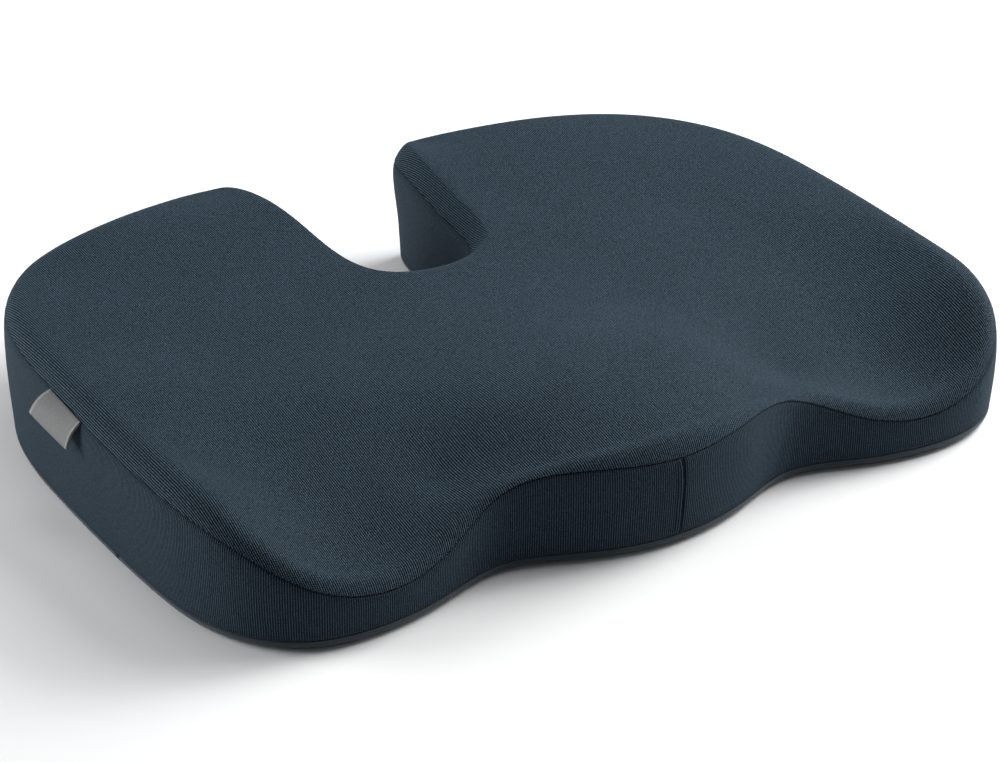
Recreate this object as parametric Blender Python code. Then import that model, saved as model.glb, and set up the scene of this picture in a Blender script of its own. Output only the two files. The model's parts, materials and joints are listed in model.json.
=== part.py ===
"""Orthopaedic seat cushion: a moulded foam core in a zipped knit cover, with a cut-out for the tail bone.

The cover is one continuous skin in the design. It is cut into panels along its seams, and each panel is
thickened inwards. The foam is the same skin, set in by the cover's thickness.
Frame: metres, +Z up, the front at -Y, the origin on the floor at the centre of the outline.
"""

import math

import bmesh
import bpy
import numpy as np
from mathutils import Matrix, Vector
from mathutils.geometry import delaunay_2d_cdt

MM = 0.001

# The right half of the cushion's outline, from the front centre round to the root of the cut-out.
# Each station is (x, y, height of the top seam), in millimetres.
OUTLINE = (
    (0, -172, 46),  # middle of the pommel, between the thighs
    (45, -163, 48),  # shoulder of the pommel
    (83, -151, 42.5),  # bottom of the scallop beside it
    (117, -160, 28),
    (156, -167.5, 22.5),  # front lobe, under the thigh
    (191, -161.5, 32.5),
    (213.5, -141.5, 48),  # front corner
    (227, -84, 57.5),
    (226.5, 10, 62.5),  # side
    (215, 90, 64),
    (187, 132.5, 64),  # rear corner
    (137, 153.5, 66.5),
    (88, 169, 63.5),  # back of the rear lobe
    (55, 171.5, 61),  # tip of the rear lobe
    (41.5, 140, 62.5),  # mouth of the cut-out
    (36, 92, 57),
    (26.5, 51.5, 53),
    (0, 42.5, 52.5),  # root of the cut-out
)
CROWN_RISE = 9 * MM  # from the top seam up to the seat, where the edge has rolled over
EDGE_RADIUS = 12.5 * MM  # how far in from the outline the edge is rolled

# Heights of the seat's surface away from its edge, for the right half: (x, y, height), in millimetres.
SEAT = (
    (0, 5, 61),  # seat centre, in front of the cut-out
    (0, -50, 63),
    (0, -110, 65),  # ridge that runs forward into the pommel
    (62, -45, 59),
    (58, -105, 54.5),  # flank of the ridge
    (110, 15, 62),  # dish under the seat bones
    (115, -55, 56),
    (120, -115, 41.5),  # thigh channel
    (160, 15, 64),
    (165, -55, 56),
    (165, -110, 44),
    (198, -20, 66),
    (194, -85, 56),  # inner foot of the raised side rim
    (110, 90, 69),  # rear plateau
    (170, 80, 71),
)

COVER_THICKNESS = 0.8 * MM
GAP = 0.3 * MM  # between pieces that touch
SEAM_HALF_GAP = 0.3 * MM
BASE_SEAM_HEIGHT = 6 * MM  # the base fabric wraps up the side to here
BASE_RADIUS = BASE_SEAM_HEIGHT - SEAM_HALF_GAP
HALF_SAMPLES = 62
CURVE_DENSITY = 9 * MM  # length of outline that one radian of bend is worth
EDGE_STEPS = 3
SEAT_GRID = 16 * MM
BASE_GRID = 34 * MM

# The zip crosses the underside from side to side, in a shallow trough.
ZIP_Y = -50 * MM
TROUGH_DEPTH = 4.1 * MM
TROUGH_HALF_WIDTH = 12.5 * MM
TROUGH_SLOPE = 13.5 * MM
TROUGH_HALF_LENGTH = 176 * MM
TROUGH_END_SLOPE = 20 * MM
TROUGH_ROWS = tuple(TROUGH_HALF_WIDTH + TROUGH_SLOPE * share for share in (0, 1 / 3, 2 / 3, 1))
TROUGH_END_ROWS = tuple(TROUGH_HALF_LENGTH + TROUGH_END_SLOPE * share for share in (0, 0.1, 0.4, 0.7, 1))
SLOT_HALF_WIDTH = 5 * MM
SLOT_HALF_LENGTH = 173 * MM
SLOT_END_TAPER = 3 * MM
POCKET_HALF_WIDTH = 13 * MM
POCKET_WALL = 2 * MM
POCKET_HEIGHT = 6.9 * MM

TAPE_HALF_LENGTH = 172 * MM
TAPE_INNER = 0.6 * MM
TAPE_OUTER = 11.5 * MM
TAPE_BOTTOM = 5.2 * MM
TAPE_THICKNESS = 0.5 * MM
COIL_HALF_LENGTH = 160 * MM
COIL_OUTER = 2.3 * MM
COIL_BOTTOM = 3.0 * MM
COIL_TOP = 4.9 * MM
STOP_LENGTH = 2.2 * MM

SLIDER_X = 153 * MM  # with the zip closed
SLIDER_HALF_LENGTH = 6 * MM
SLIDER_NOSE = 3.9 * MM  # half width at the open end of the zip
SLIDER_TAIL = 3.3 * MM
SLIDER_WALL = 0.65 * MM
SLIDER_BOTTOM = 2.0 * MM
SLIDER_TOP = 6.6 * MM
BAIL_HALF_WIDTH = 0.8 * MM
BAIL_OUTER = 3.2 * MM
BAIL_INNER = 2.4 * MM
BAIL_DEPTH = 1.65 * MM
BAIL_OPENING = 1.15 * MM
PIN_OFFSET = -1.7 * MM  # from the slider's middle to the tab's pin
PIN_HEIGHT = 1.45 * MM
TAB_THICKNESS = 0.7 * MM
TAB_HALF_WIDTH = 3.0 * MM
TAB_LENGTH = 20 * MM
TAB_WINDOW_HALF_WIDTH = 1.3 * MM
TAB_WINDOW_LENGTH = 5.2 * MM

LABEL_Y = -0.8 * MM  # middle of the label, in the left top seam
LABEL_WIDTH = 35 * MM
LABEL_LENGTH = 14.5 * MM
LABEL_THICKNESS = 0.9 * MM
LABEL_STANDOFF = 0.9 * MM  # from the outline out to the label's hinge line
LABEL_ANGLE = math.radians(36)  # from hanging straight down

MATERIALS = {
    "foam_core": ((0.86, 0.84, 0.74), 0.95, 0.0),
    "top_panel": ((0.030, 0.048, 0.066), 0.85, 0.0),
    "side_band": ((0.028, 0.045, 0.062), 0.85, 0.0),
    "base_panel_front": ((0.012, 0.014, 0.017), 0.9, 0.0),
    "base_panel_rear": ((0.012, 0.014, 0.017), 0.9, 0.0),
    "zip_tape_front": ((0.010, 0.012, 0.015), 0.85, 0.0),
    "zip_tape_rear": ((0.010, 0.012, 0.015), 0.85, 0.0),
    "zip_coil_front": ((0.012, 0.013, 0.015), 0.4, 0.0),
    "zip_coil_rear": ((0.012, 0.013, 0.015), 0.4, 0.0),
    "zip_start_stop": ((0.25, 0.25, 0.26), 0.35, 1.0),
    "zip_end_stop": ((0.25, 0.25, 0.26), 0.35, 1.0),
    "zip_slider": ((0.05, 0.05, 0.055), 0.35, 1.0),
    "zip_pull_tab": ((0.05, 0.05, 0.055), 0.35, 1.0),
    "side_label": ((0.16, 0.17, 0.18), 0.8, 0.0),
}


# ---------------------------------------------------------------- outline

def closed_spline(points):
    """A smooth closed curve through the points: returns its length and a function of distance."""
    count = len(points)
    ring = np.vstack([points, points[:1]])
    step = np.linalg.norm(np.diff(ring[:, :2], axis=0), axis=1)
    knots = np.concatenate([[0.0], np.cumsum(step)])
    system = np.zeros((count, count))
    right = np.zeros((count, points.shape[1]))
    for i in range(count):
        before = step[i - 1]
        after = step[i]
        system[i, i - 1] += before
        system[i, i] += 2 * (before + after)
        system[i, (i + 1) % count] += after
        right[i] = 6 * ((ring[i + 1] - ring[i]) / after - (ring[i] - ring[i - 1 if i else -2]) / before)
    bend = np.linalg.solve(system, right)
    bend = np.vstack([bend, bend[:1]])

    def at(distance):
        distance = np.mod(distance, knots[-1])
        i = np.clip(np.searchsorted(knots, distance, side="right") - 1, 0, count - 1)
        h = step[i][:, None]
        a = (knots[i + 1] - distance)[:, None] / h
        b = 1 - a
        cubic = (a**3 - a) * bend[i] + (b**3 - b) * bend[i + 1]
        return a * ring[i] + b * ring[i + 1] + cubic * h**2 / 6

    return knots[-1], at


def outline_curve():
    half = np.array(OUTLINE) * MM
    mirrored = half[-2:0:-1] * (-1, 1, 1)
    return closed_spline(np.vstack([half, mirrored]))


def outline_samples():
    """Points and outward normals all round, closest together where the outline bends most.

    The first and last lie either side of the front centre, where the band's ends meet, and two on each
    side lie either side of the zip's line, where the base panels meet.
    """
    length, at = outline_curve()
    fine = np.linspace(0, length / 2, 4000)
    xy = at(fine)[:, :2]
    along = np.diff(xy, axis=0)
    heading = np.unwrap(np.arctan2(along[:, 1], along[:, 0]))
    bend = np.abs(np.gradient(heading))
    cost = np.concatenate([[0], np.cumsum(np.linalg.norm(along, axis=1) + CURVE_DENSITY * bend)])
    even = np.interp(np.linspace(0, cost[-1], HALF_SAMPLES), cost, fine)
    even[0] = SEAM_HALF_GAP
    side = xy[:, 0] > 0.2
    forced = [np.interp(ZIP_Y + sign * SEAM_HALF_GAP, xy[side, 1], fine[side]) for sign in (-1, 1)]
    near = np.min(np.abs(even[:, None] - np.array(forced)), axis=1) < 4 * MM
    distance = np.sort(np.concatenate([even[~near], forced]))
    distance = np.concatenate([distance, length - distance[-2::-1]])
    point = at(distance)
    nudge = 0.1 * MM
    tangent = (at(distance + nudge) - at(distance - nudge))[:, :2]
    tangent /= np.linalg.norm(tangent, axis=1)[:, None]
    return point, np.column_stack([tangent[:, 1], -tangent[:, 0]])


# ---------------------------------------------------------------- the seat's surface

def thin_plate(points, heights):
    """The smoothest surface through the heights at the points, as a function of x and y."""
    def kernel(squared):
        return 0.5 * squared * np.log(np.maximum(squared, 1e-12))

    count = len(points)
    plane = np.column_stack([np.ones(count), points])
    squared = ((points[:, None] - points[None]) ** 2).sum(2)
    system = np.zeros((count + 3, count + 3))
    system[:count, :count] = kernel(squared)
    system[:count, count:] = plane
    system[count:, :count] = plane.T
    weights = np.linalg.solve(system, np.concatenate([heights, np.zeros(3)]))

    def height(xy):
        reach = ((xy[:, None] - points[None]) ** 2).sum(2)
        return kernel(reach) @ weights[:count] + weights[count] + xy @ weights[count + 1:]

    return height


def seat_surface(point, normal):
    """The surface through the rolled-over edge and the seat's own heights."""
    edge = point[:, :2] - normal * EDGE_RADIUS
    seat = np.array(SEAT) * MM
    mirrored = seat[seat[:, 0] > 0] * (-1, 1, 1)
    inner = np.vstack([seat, mirrored])
    heights = np.concatenate([point[:, 2] + CROWN_RISE, inner[:, 2]])
    return thin_plate(np.vstack([edge, inner[:, :2]]), heights)


def surface_normals(height, xy):
    nudge = 0.5 * MM
    slope = [(height(xy + step) - height(xy - step)) / (2 * nudge) for step in nudge * np.eye(2)]
    normal = np.column_stack([-slope[0], -slope[1], np.ones(len(xy))])
    return normal / np.linalg.norm(normal, axis=1)[:, None]


def trough(xy):
    """Height of the base fabric's underside: zero, but for the trough that the zip lies in."""
    across = np.abs(xy[:, 1] - ZIP_Y) - TROUGH_HALF_WIDTH
    along = np.abs(xy[:, 0]) - TROUGH_HALF_LENGTH
    fall = np.cos(np.pi * np.clip(across / TROUGH_SLOPE, 0, 1))
    end_fall = np.cos(np.pi * np.clip(along / TROUGH_END_SLOPE, 0, 1))
    return TROUGH_DEPTH * (1 + fall) * (1 + end_fall) / 4


def foam_underside(xy):
    """Height of the foam's underside: above the base fabric, with a pocket over the zip."""
    across = np.abs(xy[:, 1] - ZIP_Y) - POCKET_HALF_WIDTH
    along = np.abs(xy[:, 0]) - TROUGH_HALF_LENGTH
    outside = np.clip(np.maximum(across, along) / POCKET_WALL, 0, 1)
    panel = trough(xy) + COVER_THICKNESS + GAP
    return POCKET_HEIGHT + (panel - POCKET_HEIGHT) * outside


# ---------------------------------------------------------------- meshes

def inside(polygon, xy, margin):
    """Which points lie inside the polygon and at least the margin from its edge."""
    start = polygon
    end = np.roll(polygon, -1, axis=0)
    x = xy[:, None, 0]
    y = xy[:, None, 1]
    spans = (start[:, 1] > y) != (end[:, 1] > y)
    rise = np.where(end[:, 1] == start[:, 1], 1, end[:, 1] - start[:, 1])
    crossing = start[:, 0] + (y - start[:, 1]) * (end[:, 0] - start[:, 0]) / rise
    odd = (spans & (x < crossing)).sum(1) % 2 == 1
    edge = end - start
    share = ((xy[:, None] - start) * edge).sum(2) / (edge**2).sum(1)
    nearest = start + np.clip(share, 0, 1)[:, :, None] * edge
    clear = np.linalg.norm(xy[:, None] - nearest, axis=2).min(1) > margin
    return odd & clear


def grid(spacing):
    """A staggered grid of points, symmetric about x = 0."""
    rows = range(-int(0.2 / spacing), int(0.2 / spacing) + 1)
    columns = range(-int(0.25 / spacing), int(0.25 / spacing) + 1)
    return np.array([((i + 0.5 * (j % 2)) * spacing, j * spacing) for j in rows for i in columns])


def fill(polygon, extra):
    """Triangles over a polygon and the extra points in it: the points after the polygon's, and faces."""
    verts = [Vector(p) for p in np.vstack([polygon, extra])]
    out = delaunay_2d_cdt(verts, [], [list(range(len(polygon)))], 1, 1e-7)
    source = [ids[0] for ids in out[3]]
    return [[source[i] for i in face] for face in out[2]]


def strip(lower, upper, count, closed=True):
    """Triangles between two rings of the same count, given by their first indices."""
    faces = []
    for i in range(count if closed else count - 1):
        following = (i + 1) % count
        faces.append((lower + i, lower + following, upper + following))
        faces.append((lower + i, upper + following, upper + i))
    return faces


def material(name):
    color, roughness, metallic = MATERIALS[name]
    made = bpy.data.materials.new(name)
    made.use_nodes = True
    shader = made.node_tree.nodes["Principled BSDF"]
    shader.inputs["Base Color"].default_value = (*color, 1)
    shader.inputs["Roughness"].default_value = roughness
    shader.inputs["Metallic"].default_value = metallic
    return made


def finish(name, mesh, smooth_angle=40):
    """Close the mesh up into a named object with its own material and smooth shading."""
    work = bmesh.new()
    work.from_mesh(mesh)
    bmesh.ops.remove_doubles(work, verts=work.verts, dist=1e-6)
    bmesh.ops.delete(work, geom=[v for v in work.verts if not v.link_faces], context="VERTS")
    bmesh.ops.recalc_face_normals(work, faces=work.faces)
    work.to_mesh(mesh)
    work.free()
    mesh.shade_smooth()
    mesh.set_sharp_from_angle(angle=math.radians(smooth_angle))
    made = bpy.data.objects.new(name, mesh)
    bpy.context.scene.collection.objects.link(made)
    mesh.materials.append(material(name))
    return made


def solid(name, verts, faces):
    mesh = bpy.data.meshes.new(name)
    mesh.from_pydata([tuple(v) for v in verts], [], [tuple(f) for f in faces])
    return finish(name, mesh)


def shell(name, verts, normals, faces):
    """Thicken a patch of the skin inwards by the cover's thickness."""
    count = len(verts)
    inner = verts - normals * COVER_THICKNESS
    edges = {}
    for face in faces:
        for a, b in zip(face, [*face[1:], face[0]]):
            edges[(a, b)] = edges.get((a, b), 0) + 1
    rim = [(b, a, a + count, b + count) for a, b in edges if (b, a) not in edges]
    back = [[i + count for i in reversed(face)] for face in faces]
    return solid(name, np.vstack([verts, inner]), [*faces, *back, *rim])


def prism(name, profile, axis, low, high, bevel=0.0):
    """A flat outline pushed out along one axis, as a plain mesh object without a material."""
    work = bmesh.new()
    others = [i for i in range(3) if i != axis]

    def place(point, level):
        at = [0.0, 0.0, 0.0]
        at[others[0]], at[others[1]], at[axis] = point[0], point[1], level
        return at

    ring = work.faces.new([work.verts.new(place(p, low)) for p in profile])
    top = bmesh.ops.extrude_face_region(work, geom=[ring])["geom"]
    moved = [g for g in top if isinstance(g, bmesh.types.BMVert)]
    bmesh.ops.translate(work, verts=moved, vec=Vector(place((0, 0), high - low)))
    if bevel:
        bmesh.ops.bevel(work, geom=work.edges[:], offset=bevel, segments=2, profile=0.5, affect="EDGES")
    bmesh.ops.recalc_face_normals(work, faces=work.faces)
    mesh = bpy.data.meshes.new(name)
    work.to_mesh(mesh)
    work.free()
    return mesh


def rectangle(low_a, low_b, high_a, high_b):
    return [(low_a, low_b), (high_a, low_b), (high_a, high_b), (low_a, high_b)]


def fuse(name, meshes):
    """One body out of overlapping ones."""
    helpers = [bpy.data.objects.new(f"{name}_{i}", mesh) for i, mesh in enumerate(meshes)]
    for helper in helpers:
        bpy.context.scene.collection.objects.link(helper)
    for other in helpers[1:]:
        union = helpers[0].modifiers.new(other.name, "BOOLEAN")
        union.operation = "UNION"
        union.object = other
    bpy.context.view_layer.update()
    whole = bpy.data.meshes.new_from_object(helpers[0].evaluated_get(bpy.context.evaluated_depsgraph_get()))
    for helper in helpers:
        bpy.data.objects.remove(helper)
    return whole


# ---------------------------------------------------------------- cover and foam

def edge_rings(point, normal, height, inset):
    """The skin's rings from the seat's rim down to the underside, set in along their normals.

    Returns the rings and their normals, both from the top down.
    """
    rings = []
    normals = []
    rim = point[:, :2] - normal * EDGE_RADIUS
    rise = height(rim) - point[:, 2] - SEAM_HALF_GAP
    level = np.zeros(len(point))
    for step in range(EDGE_STEPS, -1, -1):
        angle = 0.5 * math.pi * step / EDGE_STEPS
        xy = point[:, :2] - normal * EDGE_RADIUS * (1 - math.cos(angle))
        z = point[:, 2] + SEAM_HALF_GAP + rise * math.sin(angle)
        rings.append(np.column_stack([xy, z]))
        facing = np.column_stack([normal * math.cos(angle), level + math.sin(angle)])
        normals.append(surface_normals(height, xy) if step == EDGE_STEPS else facing)
    for z in (point[:, 2] - SEAM_HALF_GAP, level + BASE_SEAM_HEIGHT + SEAM_HALF_GAP):
        rings.append(np.column_stack([point[:, :2], z]))
        normals.append(np.column_stack([normal, level]))
    for step in range(EDGE_STEPS + 1):
        angle = 0.5 * math.pi * step / EDGE_STEPS
        xy = point[:, :2] - normal * BASE_RADIUS * (1 - math.cos(angle))
        rings.append(np.column_stack([xy, level + BASE_RADIUS * (1 - math.sin(angle))]))
        normals.append(np.column_stack([normal * math.cos(angle), level - math.sin(angle)]))
    return [r - n * inset for r, n in zip(rings, normals)], normals


def stack(first, last, count, closed=True):
    """Faces down a run of rings that are stored one after another."""
    faces = []
    for k in range(first, last):
        faces += strip((k + 1) * count, k * count, count, closed)
    return faces


def seat_cap(point, normal, height):
    """Points on the seat inside its rolled edge, their normals, and the faces over rim and points."""
    rim = point[:, :2] - normal * EDGE_RADIUS
    inner = grid(SEAT_GRID)
    inner = inner[inside(rim, inner, 0.5 * SEAT_GRID)]
    verts = np.column_stack([inner, height(inner)])
    return verts, surface_normals(height, inner), fill(rim, inner)


def make_foam(point, normal, height):
    count = len(point)
    offset = COVER_THICKNESS + GAP
    rings, _ = edge_rings(point, normal, height, offset)
    faces = stack(0, len(rings) - 1, count)
    crown, crown_normals, cap = seat_cap(point, normal, height)
    crown = crown - crown_normals * offset
    ring_points = count * len(rings)
    faces += [[i if i < count else i - count + ring_points for i in face] for face in cap]
    floor = rings[-1][:, :2]
    rows = zip_rows((SLOT_HALF_WIDTH, *TROUGH_ROWS, POCKET_HALF_WIDTH, POCKET_HALF_WIDTH + POCKET_WALL))
    low = np.vstack([rows, clear_of_trough(grid(BASE_GRID))])
    low = low[inside(floor, low, 4 * MM)]
    first_low = ring_points + len(crown) - count
    for face in fill(floor, low):
        faces.append([i + ring_points - count if i < count else i + first_low for i in reversed(face)])
    underside = np.column_stack([low, foam_underside(low)])
    solid("foam_core", np.vstack([*rings, crown, underside]), faces)


def zip_rows(offsets):
    """Rows of points along the zip at distances either side of it, out to where the trough ends."""
    ends = np.array(TROUGH_END_ROWS)
    x = np.concatenate([np.linspace(-COIL_HALF_LENGTH, COIL_HALF_LENGTH, 17), ends, -ends])
    sides = sorted({s * d for d in offsets for s in (-1, 1)})
    return np.array([(a, ZIP_Y + d) for d in sides for a in x])


def clear_of_trough(xy):
    near_zip = np.abs(xy[:, 1] - ZIP_Y) < TROUGH_HALF_WIDTH + TROUGH_SLOPE + 8 * MM
    return xy[~near_zip]


def make_top_panel(point, normal, height):
    count = len(point)
    rings, normals = edge_rings(point, normal, height, 0)
    rings = rings[: EDGE_STEPS + 1]
    crown, crown_normals, cap = seat_cap(point, normal, height)
    shift = count * EDGE_STEPS
    faces = stack(0, EDGE_STEPS, count)
    faces += [[i if i < count else i + shift for i in face] for face in cap]
    shell(
        "top_panel",
        np.vstack([*rings, crown]),
        np.vstack([*normals[: EDGE_STEPS + 1], crown_normals]),
        faces,
    )


def make_side_band(point, normal, height):
    rings, normals = edge_rings(point, normal, height, 0)
    wall = slice(EDGE_STEPS + 1, EDGE_STEPS + 3)
    faces = strip(len(point), 0, len(point), closed=False)
    shell("side_band", np.vstack(rings[wall]), np.vstack(normals[wall]), faces)


def make_base_panel(name, side, point, normal, height):
    """One base panel: side is -1 for the front one and +1 for the rear one."""
    order = np.arange(len(point))
    if side < 0:
        order = np.roll(order, len(point) // 2)
    own = [i for i in order if side * (point[i, 1] - ZIP_Y) > 0]
    rings, normals = edge_rings(point[own], normal[own], height, 0)
    rings = rings[EDGE_STEPS + 3:]
    normals = normals[EDGE_STEPS + 3:]
    count = len(own)
    faces = stack(0, EDGE_STEPS, count, closed=False)
    floor = rings[-1][:, :2]
    beyond = np.concatenate([[SLOT_HALF_LENGTH + SLOT_END_TAPER], TROUGH_END_ROWS[1:]])
    x = np.concatenate([-beyond[::-1], np.linspace(-SLOT_HALF_LENGTH, SLOT_HALF_LENGTH, 19), beyond])
    away = np.where(np.abs(x) < beyond[0], SLOT_HALF_WIDTH, SEAM_HALF_GAP)
    slot = np.column_stack([x, ZIP_Y + side * away])
    if floor[-1, 0] > floor[0, 0]:
        slot = slot[::-1]
    polygon = np.vstack([floor, slot])
    rows = zip_rows(TROUGH_ROWS)
    ends = zip_rows((SLOT_HALF_WIDTH,))
    ends = ends[np.abs(ends[:, 0]) > SLOT_HALF_LENGTH + 6 * MM]
    inner = np.vstack([rows, ends, clear_of_trough(grid(BASE_GRID))])
    inner = inner[inside(polygon, inner, 2 * MM)]
    flat = np.vstack([slot, inner])
    verts = np.vstack([*rings, np.column_stack([flat, trough(flat)])])
    down = np.vstack([*normals, -surface_normals(trough, flat)])
    shift = count * EDGE_STEPS
    faces += [[i + shift for i in reversed(face)] for face in fill(polygon, inner)]
    shell(name, verts, down, faces)


# ---------------------------------------------------------------- zip

def make_zip_half(side, place):
    """One woven tape and the coil sewn under its inner edge."""
    low, high = sorted(ZIP_Y + side * d for d in (TAPE_INNER, TAPE_OUTER))
    profile = rectangle(low, TAPE_BOTTOM, high, TAPE_BOTTOM + TAPE_THICKNESS)
    finish(f"zip_tape_{place}", prism("tape", profile, 0, -TAPE_HALF_LENGTH, TAPE_HALF_LENGTH))
    middle = ZIP_Y + side * 0.5 * (TAPE_INNER + COIL_OUTER)
    half_width = 0.5 * (COIL_OUTER - TAPE_INNER)
    half_height = 0.5 * (COIL_TOP - COIL_BOTTOM)
    level = 0.5 * (COIL_TOP + COIL_BOTTOM)
    turns = [2 * math.pi * i / 12 for i in range(12)]
    oval = [(middle + half_width * math.cos(t), level + half_height * math.sin(t)) for t in turns]
    finish(f"zip_coil_{place}", prism("coil", oval, 0, -COIL_HALF_LENGTH, COIL_HALF_LENGTH))


def make_zip_stop(name, side):
    low, high = sorted(side * (COIL_HALF_LENGTH + d) for d in (GAP, GAP + STOP_LENGTH))
    profile = rectangle(ZIP_Y - COIL_OUTER, COIL_BOTTOM, ZIP_Y + COIL_OUTER, COIL_TOP)
    finish(name, prism(name, profile, 0, low, high, bevel=0.3 * MM))


def make_slider():
    """Two plates joined by a post, side flanges on the lower one, and the bail that holds the tab."""
    nose = SLIDER_X + SLIDER_HALF_LENGTH
    tail = SLIDER_X - SLIDER_HALF_LENGTH
    shoulder = SLIDER_X + 0.4 * SLIDER_HALF_LENGTH

    def plan(inset=0.0):
        wide = SLIDER_NOSE - inset
        slim = SLIDER_TAIL - inset
        right = [(tail, slim - MM), (tail + MM, slim), (shoulder, wide),
                 (nose - 2 * MM, wide), (nose, 1.5 * MM)]
        return [(x, ZIP_Y - y) for x, y in right] + [(x, ZIP_Y + y) for x, y in reversed(right)]

    lower = prism("lower", plan(), 2, SLIDER_BOTTOM, SLIDER_BOTTOM + SLIDER_WALL, bevel=0.15 * MM)
    upper = prism("upper", plan(), 2, SLIDER_TOP - SLIDER_WALL, SLIDER_TOP, bevel=0.15 * MM)
    inner = COIL_OUTER + GAP
    flanges = []
    for side in (-1, 1):
        edge = [(tail + 0.5 * MM, SLIDER_TAIL - 0.2 * MM), (shoulder, SLIDER_NOSE - 0.1 * MM),
                (nose - 2.2 * MM, SLIDER_NOSE - 0.1 * MM), (nose - 2.2 * MM, inner), (tail + 0.5 * MM, inner)]
        outline = [(x, ZIP_Y + side * y) for x, y in edge]
        flanges.append(prism("flange", outline, 2, SLIDER_BOTTOM + 0.3 * MM, COIL_TOP))
    post_x = shoulder
    post_half = TAPE_INNER - GAP
    post_plan = rectangle(post_x, ZIP_Y - post_half, post_x + 2.5 * MM, ZIP_Y + post_half)
    post = prism("post", post_plan, 2, SLIDER_BOTTOM + 0.3 * MM, SLIDER_TOP - 0.3 * MM)
    base = SLIDER_BOTTOM
    crown = base - BAIL_DEPTH
    root = base + 0.3 * MM
    arch = [(-BAIL_OUTER, root), (-BAIL_OUTER, crown + 0.8 * MM), (-BAIL_OUTER + 0.8 * MM, crown),
            (BAIL_OUTER - 0.8 * MM, crown), (BAIL_OUTER, crown + 0.8 * MM), (BAIL_OUTER, root),
            (BAIL_INNER, root), (BAIL_INNER, base - BAIL_OPENING), (-BAIL_INNER, base - BAIL_OPENING),
            (-BAIL_INNER, root)]
    bail_profile = [(SLIDER_X + x, z) for x, z in arch]
    bail = prism("bail", bail_profile, 1, ZIP_Y - BAIL_HALF_WIDTH, ZIP_Y + BAIL_HALF_WIDTH)
    finish("zip_slider", fuse("slider", [lower, *flanges, post, upper, bail]), smooth_angle=30)


def make_pull_tab():
    """A flat tab with a window round the bail. Its origin is on the pin's axis."""
    half = 0.5 * TAB_THICKNESS
    outline = [(half, -TAB_HALF_WIDTH), (half, TAB_HALF_WIDTH), (-0.7 * TAB_LENGTH, TAB_HALF_WIDTH),
               (-TAB_LENGTH + 1.5 * MM, 0.75 * TAB_HALF_WIDTH), (-TAB_LENGTH, 0.4 * TAB_HALF_WIDTH),
               (-TAB_LENGTH, -0.4 * TAB_HALF_WIDTH), (-TAB_LENGTH + 1.5 * MM, -0.75 * TAB_HALF_WIDTH),
               (-0.7 * TAB_LENGTH, -TAB_HALF_WIDTH)]
    plate = prism("plate", outline, 2, -half, half, bevel=0.15 * MM)
    cut = rectangle(-half - TAB_WINDOW_LENGTH, -TAB_WINDOW_HALF_WIDTH, -half, TAB_WINDOW_HALF_WIDTH)
    window = bpy.data.objects.new("window", prism("window", cut, 2, -MM, MM))
    made = bpy.data.objects.new("plate", plate)
    for piece in (window, made):
        bpy.context.scene.collection.objects.link(piece)
    hole = made.modifiers.new("window", "BOOLEAN")
    hole.operation = "DIFFERENCE"
    hole.object = window
    bpy.context.view_layer.update()
    mesh = bpy.data.meshes.new_from_object(made.evaluated_get(bpy.context.evaluated_depsgraph_get()))
    bpy.data.objects.remove(made)
    bpy.data.objects.remove(window)
    tab = finish("zip_pull_tab", mesh, smooth_angle=30)
    tab.location = (SLIDER_X + PIN_OFFSET, ZIP_Y, PIN_HEIGHT)


# ---------------------------------------------------------------- label

def make_label():
    """A folded woven tag that hangs out of the left top seam. Its origin is on its hinge line."""
    length, at = outline_curve()
    fine = np.linspace(0.5 * length, length, 4000)
    points = at(fine)
    left = points[points[:, 0] < -0.2]

    def seam(y):
        order = np.argsort(left[:, 1])
        return Vector([np.interp(y, left[order, 1], left[order, k]) for k in range(3)])

    front = seam(LABEL_Y - 0.5 * LABEL_WIDTH)
    rear = seam(LABEL_Y + 0.5 * LABEL_WIDTH)
    along = (rear - front).normalized()
    outward = along.cross(Vector((0, 0, -1))).normalized()
    up = outward.cross(along).normalized()
    if up.z < 0:
        up = -up
    down = outward * math.sin(LABEL_ANGLE) - up * math.cos(LABEL_ANGLE)
    across = down.cross(along).normalized()
    half = 0.5 * LABEL_THICKNESS
    profile = rectangle(-0.5 * LABEL_WIDTH, 0, 0.5 * LABEL_WIDTH, LABEL_LENGTH)
    tag = finish("side_label", prism("label", profile, 2, -half, half, bevel=0.25 * MM))
    turn = Matrix((along, down, across)).transposed().to_4x4()
    turn.translation = (front + rear) / 2 + outward * LABEL_STANDOFF
    tag.matrix_world = turn


def main():
    for old in list(bpy.data.objects):
        bpy.data.objects.remove(old)
    point, normal = outline_samples()
    height = seat_surface(point, normal)
    make_foam(point, normal, height)
    make_top_panel(point, normal, height)
    make_side_band(point, normal, height)
    make_base_panel("base_panel_front", -1, point, normal, height)
    make_base_panel("base_panel_rear", 1, point, normal, height)
    make_zip_half(-1, "front")
    make_zip_half(1, "rear")
    make_zip_stop("zip_start_stop", -1)
    make_zip_stop("zip_end_stop", 1)
    make_slider()
    make_pull_tab()
    make_label()


main()
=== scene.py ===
"""Looks for the seat cushion, around the CAD frame.

Rib knit cover panels, seams, a woven label, a zip and an anti-slip base, with a plain studio.
"""

import json
import math

import bpy
import numpy as np
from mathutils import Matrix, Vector
from mathutils.geometry import delaunay_2d_cdt


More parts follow.
